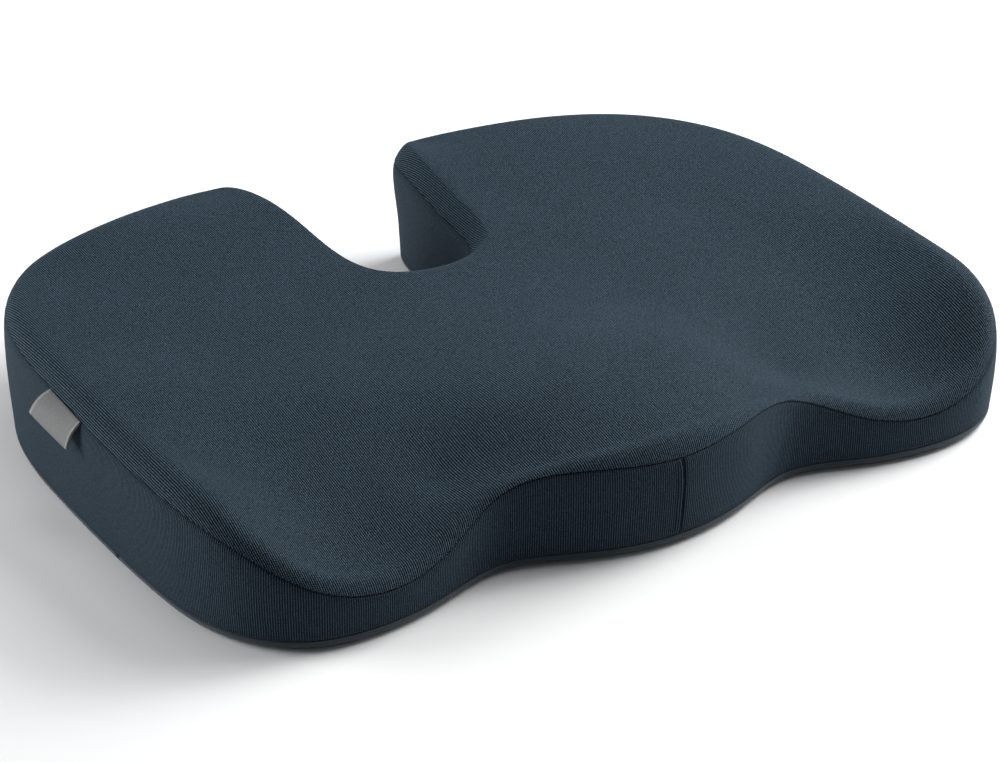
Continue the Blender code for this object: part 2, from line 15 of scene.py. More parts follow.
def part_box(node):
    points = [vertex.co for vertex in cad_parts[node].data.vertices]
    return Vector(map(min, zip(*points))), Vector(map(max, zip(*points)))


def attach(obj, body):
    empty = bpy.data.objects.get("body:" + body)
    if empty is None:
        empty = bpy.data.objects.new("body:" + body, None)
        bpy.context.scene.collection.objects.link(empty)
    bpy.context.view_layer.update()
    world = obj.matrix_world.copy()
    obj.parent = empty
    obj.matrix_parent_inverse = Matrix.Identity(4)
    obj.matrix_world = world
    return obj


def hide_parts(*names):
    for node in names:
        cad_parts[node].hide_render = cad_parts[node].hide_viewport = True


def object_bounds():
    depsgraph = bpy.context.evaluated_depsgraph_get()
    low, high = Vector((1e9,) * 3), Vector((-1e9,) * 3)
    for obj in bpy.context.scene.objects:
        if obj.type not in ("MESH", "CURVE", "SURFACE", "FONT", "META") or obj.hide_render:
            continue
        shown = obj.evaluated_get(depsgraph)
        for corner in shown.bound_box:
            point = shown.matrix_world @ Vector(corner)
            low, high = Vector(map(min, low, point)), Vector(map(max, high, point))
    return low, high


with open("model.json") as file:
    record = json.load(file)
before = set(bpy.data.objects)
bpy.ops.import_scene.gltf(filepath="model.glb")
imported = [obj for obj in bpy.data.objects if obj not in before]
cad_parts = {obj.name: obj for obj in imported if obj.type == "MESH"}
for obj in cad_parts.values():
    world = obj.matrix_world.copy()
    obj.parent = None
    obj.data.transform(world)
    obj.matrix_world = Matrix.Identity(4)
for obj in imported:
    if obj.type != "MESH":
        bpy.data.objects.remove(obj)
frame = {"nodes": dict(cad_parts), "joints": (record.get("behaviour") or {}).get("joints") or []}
CAD_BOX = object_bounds()
MM = 0.001
JOINTS = {joint["name"]: joint for joint in frame["joints"]}

# ---------------------------------------------------------------- the cushion's shape
# The same as the CAD part's, with a little more relief in the seat.

# Right half of the outline, from the front centre to the cut-out's root: x, y, top seam height, in mm.
OUTLINE = (
    (0, -172, 46),  # middle of the pommel
    (45, -163, 48),
    (83, -151, 42.5),  # bottom of the front scallop
    (117, -160, 28),
    (156, -167.5, 22.5),  # front lobe, under the thigh
    (191, -161.5, 32.5),
    (213.5, -141.5, 48),  # front corner
    (227, -84, 57.5),
    (226.5, 10, 62.5),  # side
    (215, 90, 64),
    (187, 132.5, 64),  # rear corner
    (137, 153.5, 66.5),
    (88, 169, 63.5),
    (55, 171.5, 61),  # tip of the rear lobe
    (41.5, 140, 62.5),  # mouth of the cut-out
    (36, 92, 57),
    (26.5, 51.5, 53),
    (0, 42.5, 52.5),  # root of the cut-out
)
# Heights of the seat away from its edge, right half: x, y, height, in mm.
SEAT = (
    (0, 5, 61),
    (0, -50, 63),
    (0, -110, 64),  # ridge that runs forward into the pommel
    (0, -139, 60),
    (62, -45, 59),
    (58, -105, 59),
    (97, -122, 41),  # foot of the ridge's steep flank
    (110, 15, 62),  # dish under the seat bones
    (115, -55, 56),
    (120, -115, 41.5),  # thigh channel
    (160, 15, 64),
    (165, -55, 56),
    (165, -110, 44),
    (198, -20, 68),
    (194, -85, 58),  # raised side rim
    (110, 90, 69),  # rear plateau
    (170, 80, 71),
)
CROWN_RISE = 9 * MM
EDGE_RADIUS = 12.5 * MM
CUT_OUT_CROWN = 11.5 * MM  # in the cut-out the edge is a steep bevel
CUT_OUT_EDGE = 7.5 * MM
FRONT_EDGE = 2.5 * MM  # how much lower the crown is along the front
SCALLOP_EDGE = 4.5 * MM  # and how much lower again in the scallops
BASE_SEAM_HEIGHT = 6 * MM
BASE_LIFT = 0.45 * MM  # the base fabric stands this high, on its anti-slip dots
BASE_INSET = 5.7 * MM

ZIP_Y = 0.5 * (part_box("zip_coil_front")[0].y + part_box("zip_coil_rear")[1].y)
TROUGH_DEPTH = 4.1 * MM
TROUGH_HALF_WIDTH = 12.5 * MM
TROUGH_SLOPE = 13.5 * MM
TROUGH_HALF_LENGTH = 176 * MM
TROUGH_END_SLOPE = 20 * MM
SLOT_HALF_WIDTH = 5 * MM
SLOT_HALF_LENGTH = 169 * MM  # the tapes reach past the slot
BASE_GAP = 0.3 * MM  # the two base panels stop this far from the middle of their join
CUT_HALF_LENGTH = 212 * MM  # the join runs on past the slot, nearly to the edge

# ---------------------------------------------------------------- detail of the visible surface

SAMPLE = 3.4 * MM  # spacing of the mesh along the outline
CURVE_DENSITY = 7 * MM  # how much closer the points are where the outline turns, per radian
SEAT_GRID = 4.2 * MM
BASE_GRID = 9 * MM
ROLL_STEPS = 10
WALL_STEPS = 14
THREAD_SIDES = 6

FABRIC = 0.6 * MM
CREASE_LIP = 0.5 * MM
CREASES = ((0.35, 0.5), (1.1, 0.18), (2.2, 0.1))  # inset in mm, and share of the lip, down into a seam
ROLL_POWER = 3.4  # roundness of the seat's edge
CHAMFER_POWER = 1.2  # the same in the cut-out, where the edge is nearly straight
BULGE = 2.6 * MM  # how far the side band stands out between its seams
# Unevenness of the bulge: waves all round, their height in mm, and their phase.
UNEVEN_SWELL = ((9, 0.16, 0.4), (23, 0.14, 1.9), (41, 0.1, 0.7), (67, 0.07, 2.2))
UNDERCUT = 3.2 * MM  # how far the cut-out's wall leans in, at the base
JOIN_DENSITY = 7.0  # how much finer the mesh is at the side band's join
JOIN_RISE = 0.9 * MM
JOIN_TUCK = 2.2 * MM
JOIN_HELD = 5 * MM  # the cloth is held this close to the join
PRESSURE = 4.0
PRESS_FRAMES = 20
PRESS_LIMIT = 1.2 * MM  # no point of the fabric moves further than this

DOT_PITCH = 9.5 * MM
DOT_MARGIN = 15 * MM

LABEL_WIDTH = 35 * MM
LABEL_DROP = 14.5 * MM  # from the seam to the fold, along the tape
LABEL_START = (-0.5 * MM, -0.5 * MM)  # out and up from the hinge line
LABEL_TUCK = 0.4 * MM  # how far the ends go further into the seam
LABEL_PLY_GAP = 0.28 * MM  # from the middle to each of the two plies

RIB_PITCH = 1.12 * MM
COURSE_PITCH = 0.9 * MM
FAR_FROM_SEAM = 20 * MM
# Colours of the knit: in the grooves, on the ribs' sides and on their crests. The near-black groove
# colour is painted shade and the bright crest colour is painted light; the side band's set has less of
# both.
NAVY_TOP_WITH_RIB_SHADING = ((0.0006, 0.0012, 0.0020), (0.0070, 0.0122, 0.0170), (0.055, 0.094, 0.130))
NAVY_SIDE_WITH_RIB_SHADING = ((0.003, 0.0060, 0.0092), (0.013, 0.0225, 0.032), (0.038, 0.063, 0.088))

LAMP_DISTANCE = 1.8


def closed_spline(points):
    """A smooth closed curve through the points: returns its length and a function of distance."""
    count = len(points)
    ring = np.vstack([points, points[:1]])
    step = np.linalg.norm(np.diff(ring[:, :2], axis=0), axis=1)
    knots = np.concatenate([[0.0], np.cumsum(step)])
    system = np.zeros((count, count))
    right = np.zeros((count, points.shape[1]))
    for i in range(count):
        before = step[i - 1]
        after = step[i]
        system[i, i - 1] += before
        system[i, i] += 2 * (before + after)
        system[i, (i + 1) % count] += after
        right[i] = 6 * ((ring[i + 1] - ring[i]) / after - (ring[i] - ring[i - 1 if i else -2]) / before)
    bend = np.linalg.solve(system, right)
    bend = np.vstack([bend, bend[:1]])

    def at(distance):
        distance = np.mod(distance, knots[-1])
        i = np.clip(np.searchsorted(knots, distance, side="right") - 1, 0, count - 1)
        h = step[i][:, None]
        a = (knots[i + 1] - distance)[:, None] / h
        b = 1 - a
        cubic = (a**3 - a) * bend[i] + (b**3 - b) * bend[i + 1]
        return a * ring[i] + b * ring[i + 1] + cubic * h**2 / 6

    return knots[-1], at


def thin_plate(points, heights):
    """The smoothest surface through the heights at the points, as a function of x and y."""
    def kernel(squared):
        return 0.5 * squared * np.log(np.maximum(squared, 1e-12))

    count = len(points)
    plane = np.column_stack([np.ones(count), points])
    system = np.zeros((count + 3, count + 3))
    system[:count, :count] = kernel(((points[:, None] - points[None]) ** 2).sum(2))
    system[:count, count:] = plane
    system[count:, :count] = plane.T
    weights = np.linalg.solve(system, np.concatenate([heights, np.zeros(3)]))

    def height(xy):
        reach = ((xy[:, None] - points[None]) ** 2).sum(2)
        return kernel(reach) @ weights[:count] + weights[count] + xy @ weights[count + 1:]

    return height


class Outline:
    """The cushion's plan: points, outward normals, seam heights and distance along, all round."""

    def __init__(self, spacing, density):
        half = np.array(OUTLINE) * MM
        length, at = closed_spline(np.vstack([half, half[-2:0:-1] * (-1, 1, 1)]))
        fine = np.linspace(0, length / 2, 6000)
        along = np.diff(at(fine)[:, :2], axis=0)
        heading = np.unwrap(np.arctan2(along[:, 1], along[:, 0]))
        run = np.linalg.norm(along, axis=1)
        finer = 1 + JOIN_DENSITY * np.exp(-fine[1:] / (3 * MM))
        cost = np.concatenate([[0], np.cumsum(run * finer + density * np.abs(np.gradient(heading)))])
        count = round(cost[-1] / spacing)
        distance = np.interp(np.linspace(0, cost[-1], count), cost, fine)
        distance[0] = 0.25 * MM
        distance = np.concatenate([distance, length - distance[-2::-1]])
        point = at(distance)
        nudge = 0.1 * MM
        tangent = (at(distance + nudge) - at(distance - nudge))[:, :2]
        tangent /= np.linalg.norm(tangent, axis=1)[:, None]
        self.xy = point[:, :2]
        self.seam = point[:, 2]
        self.normal = np.column_stack([tangent[:, 1], -tangent[:, 0]])
        self.count = len(distance)
        true = np.concatenate([[0], np.cumsum(run)])
        half_run = np.interp(np.minimum(distance, length - distance), fine, true)
        self.along = np.where(distance < length / 2, half_run, 2 * true[-1] - half_run)
        self.length = 2 * true[-1]
        far_in = smooth((self.xy[:, 1] - 25 * MM) / (50 * MM))
        self.cut_out = far_in * smooth((70 * MM - np.abs(self.xy[:, 0])) / (30 * MM))
        x, y = np.abs(self.xy.T)
        front = smooth((110 * MM - y) / (-35 * MM)) * (self.xy[:, 1] < 0)
        scallop = np.exp(-((x - 72 * MM) / (28 * MM)) ** 2) * front
        thin = FRONT_EDGE * front * smooth(x / (40 * MM)) + SCALLOP_EDGE * scallop
        self.edge = EDGE_RADIUS + (CUT_OUT_EDGE - EDGE_RADIUS) * self.cut_out - 0.8 * thin
        self.crown = CROWN_RISE + (CUT_OUT_CROWN - CROWN_RISE) * self.cut_out - thin
        self.rim = self.xy - self.normal * self.edge[:, None]

    def ring(self, inset, z):
        """Points all round at a distance in from the outline, at height z."""
        level = np.zeros(self.count) + z
        return np.column_stack([self.xy - self.normal * np.reshape(inset, (-1, 1)), level])


def seat_height():
    """The seat's surface, from the same edge stations and seat heights as the CAD part's."""
    edge = Outline(14 * MM, 9 * MM)
    seat = np.array(SEAT) * MM
    inner = np.vstack([seat, seat[seat[:, 0] > 0] * (-1, 1, 1)])
    points = np.vstack([edge.rim, inner[:, :2]])
    return thin_plate(points, np.concatenate([edge.seam + edge.crown, inner[:, 2]]))


def trough(xy):
    """Height of the base fabric: flat, but for the trough that the zip lies in."""
    across = np.abs(xy[:, 1] - ZIP_Y) - TROUGH_HALF_WIDTH
    along = np.abs(xy[:, 0]) - TROUGH_HALF_LENGTH
    fall = np.cos(np.pi * np.clip(across / TROUGH_SLOPE, 0, 1))
    end_fall = np.cos(np.pi * np.clip(along / TROUGH_END_SLOPE, 0, 1))
    return BASE_LIFT + (TROUGH_DEPTH - BASE_LIFT) * (1 + fall) * (1 + end_fall) / 4


def smooth(share):
    share = np.clip(share, 0, 1)
    return share * share * (3 - 2 * share)


def waves(distance, length, terms):
    """Gentle unevenness all round: a sum of sines that closes on itself."""
    total = np.zeros(len(distance))
    for cycles, size, shift in terms:
        total += size * np.sin(2 * np.pi * cycles * distance / length + shift)
    return total


# ---------------------------------------------------------------- mesh helpers

def inside(polygon, xy, margin):
    """Which points lie inside the polygon and at least the margin from its edge."""
    result = np.zeros(len(xy), bool)
    end = np.roll(polygon, -1, axis=0)
    edge = end - polygon
    rise = np.where(edge[:, 1] == 0, 1, edge[:, 1])
    for first in range(0, len(xy), 1000):
        part = xy[first:first + 1000]
        x = part[:, None, 0]
        y = part[:, None, 1]
        spans = (polygon[:, 1] > y) != (end[:, 1] > y)
        crossing = polygon[:, 0] + (y - polygon[:, 1]) * edge[:, 0] / rise
        odd = (spans & (x < crossing)).sum(1) % 2 == 1
        share = ((part[:, None] - polygon) * edge).sum(2) / (edge**2).sum(1)
        nearest = polygon + np.clip(share, 0, 1)[:, :, None] * edge
        clear = np.linalg.norm(part[:, None] - nearest, axis=2).min(1) > margin
        result[first:first + 1000] = odd & clear
    return result


def grid(spacing, half_x=0.235, half_y=0.18):
    """A staggered grid of points, symmetric about x = 0."""
    rows = range(-int(half_y / spacing), int(half_y / spacing) + 1)
    columns = range(-int(half_x / spacing) - 1, int(half_x / spacing) + 1)
    return np.array([((i + 0.5 * (j % 2)) * spacing, j * spacing) for j in rows for i in columns])


def fill(polygon, extra):
    """Triangles over a polygon and the extra points inside it."""
    verts = [Vector(p) for p in np.vstack([polygon, extra])]
    out = delaunay_2d_cdt(verts, [], [list(range(len(polygon)))], 1, 1e-7)
    source = [ids[0] for ids in out[3]]
    return [[source[i] for i in face] for face in out[2]]


def bands(rows, count, closed=True, flipped=False):
    """Quads down a run of rings, the highest first, that are stored one after another."""
    faces = []
    for k in range(rows - 1):
        upper = k * count
        lower = upper + count
        for i in range(count if closed else count - 1):
            j = (i + 1) % count
            faces.append((lower + i, lower + j, upper + j, upper + i))
    return [face[::-1] for face in faces] if flipped else faces


def tube(rings, sides):
    """Faces of a tube with closed ends, whose rings run towards its far end."""
    last = (rings - 1) * sides
    ends = [tuple(reversed(range(sides))), tuple(range(last, last + sides))]
    return bands(rings, sides, flipped=True) + ends


def circle(steps):
    """Cosine and sine of equal turns round a circle."""
    turns = 2 * np.pi * np.arange(steps) / steps
    return np.column_stack([np.cos(turns), np.sin(turns)])


def piece(name, verts, faces, body, look, smooth_angle=60):
    """A named mesh object with its material, riding on a CAD body."""
    mesh = bpy.data.meshes.new(name)
    mesh.from_pydata([tuple(v) for v in verts], [], [tuple(int(i) for i in f) for f in faces])
    mesh.update()
    made = bpy.data.objects.new(name, mesh)
    bpy.context.scene.collection.objects.link(made)
    mesh.shade_smooth()
    mesh.set_sharp_from_angle(angle=math.radians(smooth_angle))
    mesh.materials.append(look)
    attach(made, body)
    return made


def knit_coordinates(made, coordinates):
    """Store where the knit runs, in metres: across the ribs, along them, and from the nearest seam."""
    layer = made.data.attributes.new("knit", "FLOAT_VECTOR", "POINT")
    layer.data.foreach_set("vector", np.asarray(coordinates, np.float32).ravel())


def thicken(made, thickness, offset=-1):
    """Give a sheet of faces its thickness: inwards, or to both sides with offset 0."""
    solid = made.modifiers.new("fabric thickness", "SOLIDIFY")
    solid.thickness = thickness
    solid.offset = offset


# ---------------------------------------------------------------- materials

class Nodes:
    """A short way to write a material's node tree."""

    def __init__(self, name):
        self.material = bpy.data.materials.new(name)
        self.material.use_nodes = True
        self.tree = self.material.node_tree
        self.shader = self.tree.nodes["Principled BSDF"]

    def link(self, value, socket):
        if isinstance(value, bpy.types.NodeSocket):
            self.tree.links.new(value, socket)
        else:
            socket.default_value = value

    def math(self, operation, a, b=0.0, c=0.0):
        node = self.tree.nodes.new("ShaderNodeMath")
        node.operation = operation
        for value, socket in zip((a, b, c), node.inputs):
            self.link(value, socket)
        return node.outputs[0]

    def attribute(self, name):
        node = self.tree.nodes.new("ShaderNodeAttribute")
        node.attribute_name = name
        return node.outputs["Vector"]

    def place(self):
        return self.tree.nodes.new("ShaderNodeTexCoord").outputs["Object"]

    def split(self, vector):
        node = self.tree.nodes.new("ShaderNodeSeparateXYZ")
        self.link(vector, node.inputs[0])
        return node.outputs

    def noise(self, vector, size, detail=2.0, roughness=0.5):
        node = self.tree.nodes.new("ShaderNodeTexNoise")
        self.link(vector, node.inputs["Vector"])
        node.inputs["Scale"].default_value = 1 / size
        node.inputs["Detail"].default_value = detail
        node.inputs["Roughness"].default_value = roughness
        return node.outputs["Fac"]

    def ramp(self, value, stops):
        node = self.tree.nodes.new("ShaderNodeValToRGB")
        self.link(value, node.inputs[0])
        ramp = node.color_ramp
        while len(ramp.elements) < len(stops):
            ramp.elements.new(0.5)
        for element, (at, color) in zip(ramp.elements, stops):
            element.position = at
            element.color = (*color, 1)
        return node.outputs[0]

    def remap(self, value, low, high, to_low, to_high):
        node = self.tree.nodes.new("ShaderNodeMapRange")
        for given, socket in zip((value, low, high, to_low, to_high), node.inputs):
            self.link(given, socket)
        return node.outputs[0]

    def mix(self, share, a, b, mode="MIX"):
        node = self.tree.nodes.new("ShaderNodeMix")
        node.data_type = "RGBA"
        node.blend_type = mode
        self.link(share, node.inputs[0])
        for value, socket in ((a, node.inputs[6]), (b, node.inputs[7])):
            self.link((*value, 1) if isinstance(value, tuple) else value, socket)
        return node.outputs[2]

    def bump(self, height, distance, strength=1.0):
        node = self.tree.nodes.new("ShaderNodeBump")
        node.inputs["Distance"].default_value = distance
        node.inputs["Strength"].default_value = strength
        self.link(height, node.inputs["Height"])
        self.tree.links.new(node.outputs[0], self.shader.inputs["Normal"])

    def set(self, **values):
        for name, value in values.items():
            self.link(value, self.shader.inputs[name.replace("_", " ")])
        return self.material


def rib_knit(name, groove_shade, tint, crest_light):
    """Fine rib knit: rounded ribs, small slanted stitches along them, heathered yarn and faint wear, with
    painted shade in the grooves and painted light on the crests.
    """
    n = Nodes(name)
    across, along, seam = n.split(n.attribute("knit"))
    where = n.place()
    sway = n.remap(n.noise(where, 14 * MM), 0.3, 0.7, -0.08 * MM, 0.08 * MM)
    phase = n.math("MULTIPLY", n.math("ADD", across, sway), math.pi / RIB_PITCH)
    rib = n.math("ABSOLUTE", n.math("SINE", phase))
    course = n.math("MULTIPLY_ADD", along, 1 / COURSE_PITCH, n.math("MULTIPLY", rib, 0.45))
    stitch = n.math("SINE", n.math("MULTIPLY", course, 2 * math.pi))
    yarn = n.noise(where, 0.9 * MM, 3.0, 0.7)
    cloud = n.noise(where, 60 * MM, 3.0)
    tone = n.math("MULTIPLY_ADD", stitch, 0.09, rib)
    tone = n.math("ADD", tone, n.remap(yarn, 0.25, 0.75, -0.22, 0.22))
    # Beside a seam the ribs are drawn together, so the grooves are deeper: the bump sinks there, and the
    # grooves are painted darker, as painted shade.
    drawn = n.remap(seam, 0.0, 3 * MM, 0.55, 0.0)
    hollow_and_shade = n.math("MULTIPLY", n.math("SUBTRACT", 1.0, rib), drawn)
    tone = n.math("SUBTRACT", tone, hollow_and_shade)
    # The ramp paints shade into the grooves and light onto the crests.
    color = n.ramp(tone, ((0.48, groove_shade), (0.80, tint), (1.0, crest_light)))
    color = n.mix(n.remap(cloud, 0.3, 0.7, 0.0, 0.06), color, crest_light)
    rough = n.remap(n.math("ADD", rib, yarn), 0.3, 1.6, 0.95, 0.75)
    lofty = n.math("MULTIPLY_ADD", stitch, 0.2, n.math("SUBTRACT", rib, hollow_and_shade))
    n.bump(n.math("MULTIPLY_ADD", yarn, 0.3, lofty), 0.16 * MM, 0.6)
    return n.set(
        Base_Color=color,
        Roughness=rough,
        Sheen_Weight=0.05,
        Sheen_Roughness=0.5,
        Sheen_Tint=(0.45, 0.64, 0.82, 1),
        Specular_IOR_Level=0.08,
    )


def grip_fabric():
    """Smooth dense jersey of the base, with a fine diagonal weave."""
    n = Nodes("base_jersey")
    where = n.place()
    x, y, z = n.split(where)
    sum_xy = n.math("ADD", x, n.math("ADD", y, z))
    gap_xy = n.math("SUBTRACT", x, y)
    warp = n.math("SINE", n.math("MULTIPLY", sum_xy, 2 * math.pi / (0.8 * MM)))
    weft = n.math("SINE", n.math("MULTIPLY", gap_xy, 2 * math.pi / (1.3 * MM)))
    weave = n.math("MULTIPLY", warp, weft)
    yarn = n.noise(where, 0.7 * MM, 3.0, 0.7)
    tone = n.math("ADD", n.math("MULTIPLY", weave, 0.18), yarn)
    color = n.ramp(tone, ((0.25, (0.006, 0.011, 0.017)), (0.75, (0.018, 0.031, 0.043))))
    n.bump(tone, 0.12 * MM, 0.8)
    return n.set(
        Base_Color=color,
        Roughness=n.remap(yarn, 0.3, 0.7, 0.78, 0.95),
        Sheen_Weight=0.2,
        Sheen_Roughness=0.5,
        Sheen_Tint=(0.6, 0.68, 0.76, 1),
    )


def silicone():
    n = Nodes("grip_silicone")
    where = n.place()
    mottle = n.noise(where, 2 * MM, 2.0)
    color = n.ramp(mottle, ((0.3, (0.008, 0.009, 0.011)), (0.7, (0.018, 0.020, 0.023))))
    n.bump(n.noise(where, 0.4 * MM, 2.0), 0.03 * MM, 0.6)
    return n.set(Base_Color=color, Roughness=n.remap(mottle, 0.3, 0.7, 0.38, 0.55))


def open_foam():
    n = Nodes("memory_foam")
    where = n.place()
    cells = n.tree.nodes.new("ShaderNodeTexVoronoi")
    n.link(where, cells.inputs["Vector"])
    cells.inputs["Scale"].default_value = 1 / (0.9 * MM)
    pore = cells.outputs["Distance"]
    cloud = n.noise(where, 40 * MM, 3.0)
    color = n.ramp(pore, ((0.1, (0.55, 0.52, 0.43)), (0.6, (0.84, 0.82, 0.72))))
    color = n.mix(n.remap(cloud, 0.3, 0.7, 0.0, 0.3), color, (0.80, 0.75, 0.60))
    n.bump(pore, 0.25 * MM, 0.7)
    return n.set(Base_Color=color, Roughness=n.remap(pore, 0.1, 0.6, 0.98, 0.85))


def thread(name, dark, light):
    """Twisted sewing thread: a diagonal ply and a slight sheen."""
    n = Nodes(name)
    where = n.place()
    x, y, z = n.split(where)
    slant = n.math("ADD", x, n.math("MULTIPLY_ADD", z, 1.6, y))
    ply = n.math("SINE", n.math("MULTIPLY", slant, 2 * math.pi / (0.35 * MM)))
    tone = n.math("MULTIPLY_ADD", ply, 0.3, n.noise(where, 0.5 * MM))
    color = n.ramp(tone, ((0.2, dark), (0.8, light)))
    n.bump(tone, 0.06 * MM, 0.8)
    return n.set(Base_Color=color, Roughness=n.remap(tone, 0.2, 0.8, 0.5, 0.7), Sheen_Weight=0.15)


def tape_weave():
    n = Nodes("zip_tape_weave")
    where = n.place()
    x, y, _ = n.split(where)
    cord = n.math("SINE", n.math("MULTIPLY", x, 2 * math.pi / (0.9 * MM)))
    row = n.math("SINE", n.math("MULTIPLY", y, 2 * math.pi / (1.1 * MM)))
    weave = n.math("ADD", n.math("MULTIPLY", cord, 0.5), n.math("MULTIPLY", row, 0.35))
    tone = n.math("ADD", n.math("MULTIPLY", weave, 0.35), n.noise(where, 0.6 * MM, 3.0))
    color = n.ramp(tone, ((0.2, (0.006, 0.008, 0.011)), (0.85, (0.026, 0.032, 0.040))))
    n.bump(tone, 0.12 * MM, 0.9)
    return n.set(Base_Color=color, Roughness=n.remap(tone, 0.2, 0.85, 0.8, 0.95), Sheen_Weight=0.2)


def nylon():
    n = Nodes("zip_nylon")
    where = n.place()
    mottle = n.noise(where, 1.5 * MM, 2.0)
    color = n.ramp(mottle, ((0.3, (0.010, 0.012, 0.015)), (0.7, (0.022, 0.026, 0.031))))
    n.bump(n.noise(where, 0.3 * MM, 2.0), 0.02 * MM, 0.5)
    return n.set(Base_Color=color, Roughness=n.remap(mottle, 0.3, 0.7, 0.28, 0.42))


def gunmetal():
    """Dark plated zinc, brighter where it is rubbed."""
    n = Nodes("zip_gunmetal")
    where = n.place()
    rub = n.noise(where, 3 * MM, 4.0, 0.7)
    scratch = n.noise(where, 0.25 * MM, 2.0, 0.8)
    edge = n.tree.nodes.new("ShaderNodeNewGeometry").outputs["Pointiness"]
    bare = n.remap(n.math("MULTIPLY_ADD", rub, 0.12, edge), 0.56, 0.66, 0.0, 1.0)
    color = n.mix(bare, (0.045, 0.047, 0.052), (0.42, 0.42, 0.43))
    color = n.mix(n.remap(scratch, 0.55, 0.75, 0.0, 0.25), color, (0.16, 0.16, 0.17))
    n.bump(scratch, 0.02 * MM, 0.5)
    return n.set(Base_Color=color, Metallic=0.9, Roughness=n.remap(rub, 0.3, 0.7, 0.24, 0.42))


def woven_label():
    """Grey satin-woven tape: fine warp lines, slubs, and a paler woven border along its edges."""
    n = Nodes("woven_label")
    across, along, _ = n.split(n.attribute("knit"))
    where = n.place()
    warp = n.math("SINE", n.math("MULTIPLY", across, 2 * math.pi / (0.42 * MM)))
    weft = n.math("SINE", n.math("MULTIPLY", along, 2 * math.pi / (0.55 * MM)))
    slub = n.noise(where, 1.2 * MM, 4.0, 0.75)
    weave = n.math("MULTIPLY_ADD", warp, 0.16, n.math("MULTIPLY", weft, 0.12))
    tone = n.math("ADD", weave, slub)
    color = n.ramp(tone, ((0.2, (0.075, 0.083, 0.082)), (0.8, (0.165, 0.176, 0.172))))
    aside = n.math("ABSOLUTE", across)
    border = n.remap(aside, 15.6 * MM, 16.0 * MM, 0.0, 1.0)
    outer = n.remap(aside, 16.5 * MM, 16.9 * MM, 1.0, 0.0)
    stripe = n.math("MULTIPLY", n.math("MULTIPLY", border, outer), 0.35)
    color = n.mix(stripe, color, (0.42, 0.43, 0.43))
    n.bump(n.math("MULTIPLY_ADD", slub, 0.5, weave), 0.12 * MM, 0.9)
    return n.set(
        Base_Color=color,
        Roughness=n.remap(tone, 0.2, 0.8, 0.6, 0.82),
        Sheen_Weight=0.25,
        Sheen_Roughness=0.4,
    )


def studio_floor():
    n = Nodes("studio_floor")
    cloud = n.noise(n.place(), 0.4, 2.0)
    color = n.ramp(cloud, ((0.3, (0.83, 0.835, 0.84)), (0.7, (0.86, 0.86, 0.86))))
    return n.set(Base_Color=color, Roughness=0.9, Specular_IOR_Level=0.1)


# ---------------------------------------------------------------- cover panels

def roll_rows(outline, height):
    """Rings from the seat's rim down over the rolled edge and into the top seam's crease."""
    lip = CREASE_LIP
    rise = height(outline.rim) - outline.seam - lip
    power = ROLL_POWER + (CHAMFER_POWER - ROLL_POWER) * outline.cut_out
    rows = []
    for step in range(ROLL_STEPS, -1, -1):
        share = math.sin(0.5 * math.pi * step / ROLL_STEPS) ** 1.5
        fall = 1 - (1 - share) ** power
        rows.append(outline.ring(outline.edge * share, outline.seam + lip + rise * fall))
    for inset, share in CREASES:
        rows.append(outline.ring(inset * MM, outline.seam + share * lip))
    return rows


def make_top(outline, height, look):
    rows = roll_rows(outline, height)
    rim = outline.rim
    seat = grid(SEAT_GRID)
    seat = seat[inside(rim, seat, 0.55 * SEAT_GRID)]
    ring_points = outline.count * len(rows)
    verts = np.vstack([*rows, np.column_stack([seat, height(seat)])])
    faces = bands(len(rows), outline.count)
    shift = ring_points - outline.count
    faces += [[i if i < outline.count else i + shift for i in face] for face in fill(rim, seat)]
    top = piece("top_cover", verts, faces, "cushion", look)
    # The ribs keep their width over the roll: they are laid out by length along the surface.
    gaps = [np.linalg.norm(low - high, axis=1) for high, low in zip(rows, rows[1:])]
    reach = np.cumsum([np.zeros(outline.count), *gaps], axis=0)
    knit = [np.column_stack([rim + outline.normal * arc[:, None], reach[-1] - arc]) for arc in reach]
    knit_coordinates(top, np.vstack([*knit, np.column_stack([seat, np.full(len(seat), FAR_FROM_SEAM)])]))
    thicken(top, FABRIC)
    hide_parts("top_panel")


def base_lean(outline):
    """How far in from the outline the base seam runs, all round."""
    return UNDERCUT * outline.cut_out


def wall_rows(outline):
    """Rings of the side band from the top seam's crease down to the base seam's."""
    lip = CREASE_LIP
    tall = outline.seam - BASE_SEAM_HEIGHT
    x, y = outline.xy.T
    pommel = smooth((60 * MM - np.abs(x)) / (30 * MM)) * (y < 0)
    swell = BULGE * (np.clip(tall / (50 * MM), 0.3, 1) + 0.35 * pommel)
    swell += waves(outline.along, outline.length, UNEVEN_SWELL) * MM
    # At the join the left end of the band stands up a little, and both ends turn in.
    left = outline.length - outline.along
    raised = JOIN_RISE * np.exp(-((left - 1.6 * MM) / (1.1 * MM)) ** 2)
    tuck = np.exp(-((left / (0.6 * MM)) ** 2)) + np.exp(-((outline.along / (0.9 * MM)) ** 2))
    tuck *= JOIN_TUCK
    rows = []
    depth = []
    for inset, share in CREASES[::-1]:
        rows.append(outline.ring(inset * MM, outline.seam - share * lip))
        depth.append(-0.6 * MM)
    for step in range(WALL_STEPS + 1):
        share = (step / WALL_STEPS) ** 1.25
        z = outline.seam - lip - (tall - 2 * lip) * share
        bow = 1.75 * share ** 0.5 * (1 - share) ** 1.1
        lean = base_lean(outline) * smooth(share / 0.7)
        ends = min(1.0, 8 * share * (1 - share) + 0.25)
        rows.append(outline.ring(lean + (tuck - raised) * ends - swell * bow, z))
        depth.append(tall * min(share, 1 - share))
    for inset, share in CREASES:
        rows.append(outline.ring(base_lean(outline) + inset * MM, BASE_SEAM_HEIGHT + share * lip))
        depth.append(-0.6 * MM)
    return rows, np.concatenate([np.zeros(outline.count) + d for d in depth])


